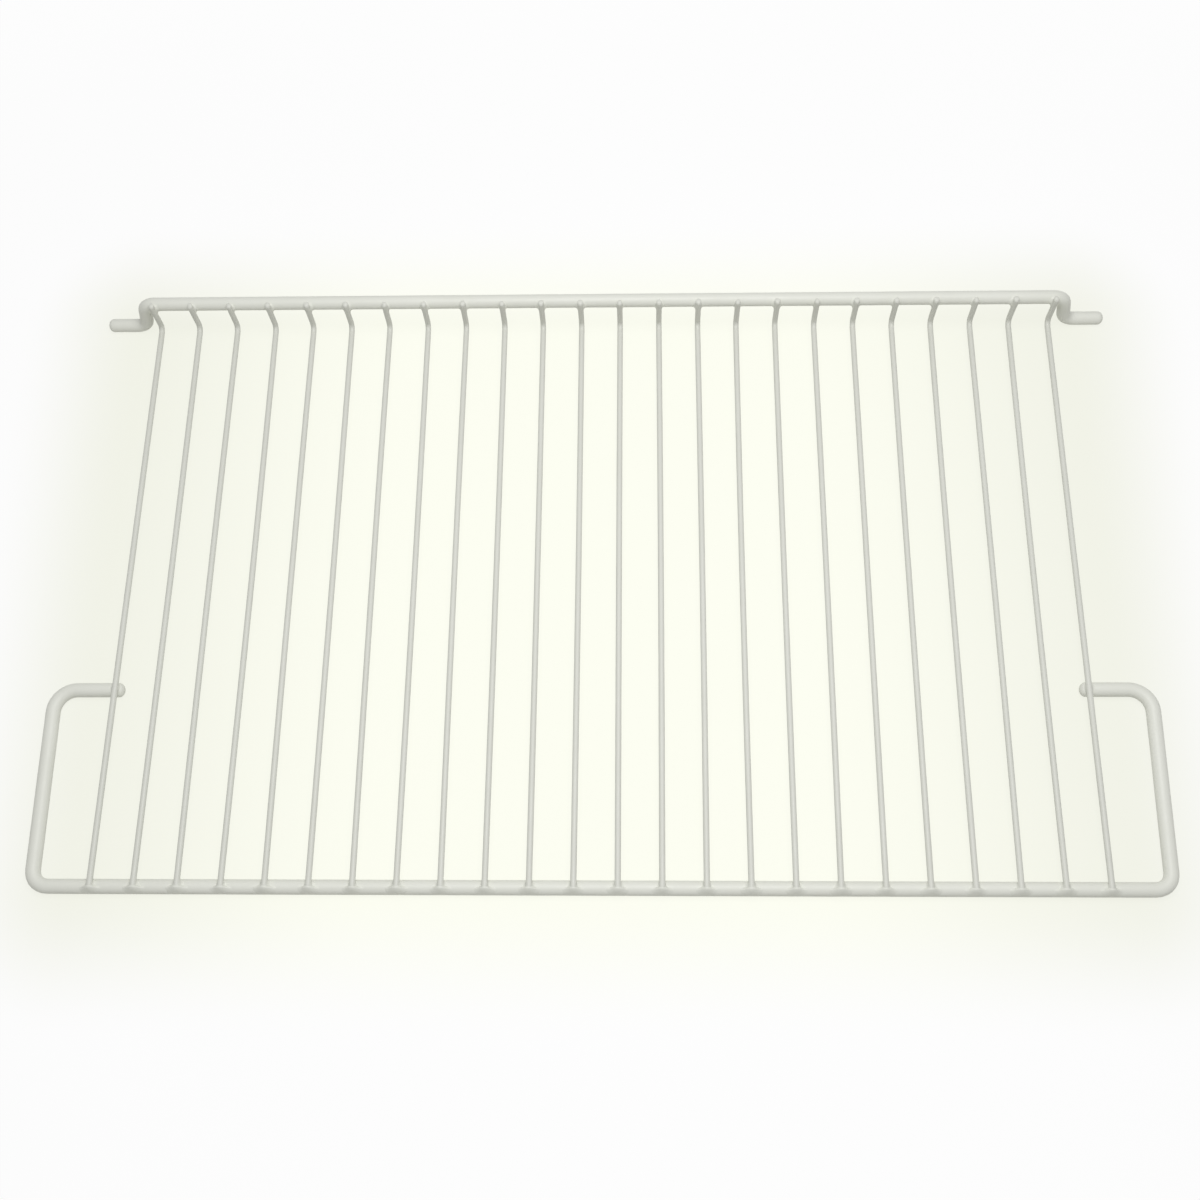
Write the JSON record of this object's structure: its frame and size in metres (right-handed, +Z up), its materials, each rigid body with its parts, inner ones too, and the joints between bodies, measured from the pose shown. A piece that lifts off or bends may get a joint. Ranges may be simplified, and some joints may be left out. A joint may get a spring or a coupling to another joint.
{
  "type": "refrigerator wire shelf",
  "caption": "White coated wire shelf for a refrigerator: a bent front frame with side loops, a raised rear rail with end pegs, and thin welded deck wires bent up at the rear.",
  "frame": {"origin": "on the ground, under the middle of the shelf's outline", "axes": "+X along the width, -Y to the front edge, +Y to the rear rail, +Z up"},
  "size_m": [0.4476, 0.258, 0.0244],
  "materials": {
    "white_coating": "satin white plastic coat over steel wire"
  },
  "bodies": {
    "root": {"front_frame_wire": "white_coating", "rear_rail_wire": "white_coating", "deck_wire_01": "white_coating", "deck_wire_02": "white_coating", "deck_wire_03": "white_coating", "deck_wire_04": "white_coating", "deck_wire_05": "white_coating", "deck_wire_06": "white_coating", "deck_wire_07": "white_coating", "deck_wire_08": "white_coating", "deck_wire_09": "white_coating", "deck_wire_10": "white_coating", "deck_wire_11": "white_coating", "deck_wire_12": "white_coating", "deck_wire_13": "white_coating", "deck_wire_14": "white_coating", "deck_wire_15": "white_coating", "deck_wire_16": "white_coating", "deck_wire_17": "white_coating", "deck_wire_18": "white_coating", "deck_wire_19": "white_coating", "deck_wire_20": "white_coating", "deck_wire_21": "white_coating", "deck_wire_22": "white_coating", "deck_wire_23": "white_coating", "deck_wire_24": "white_coating"}
  },
  "joints": []
}
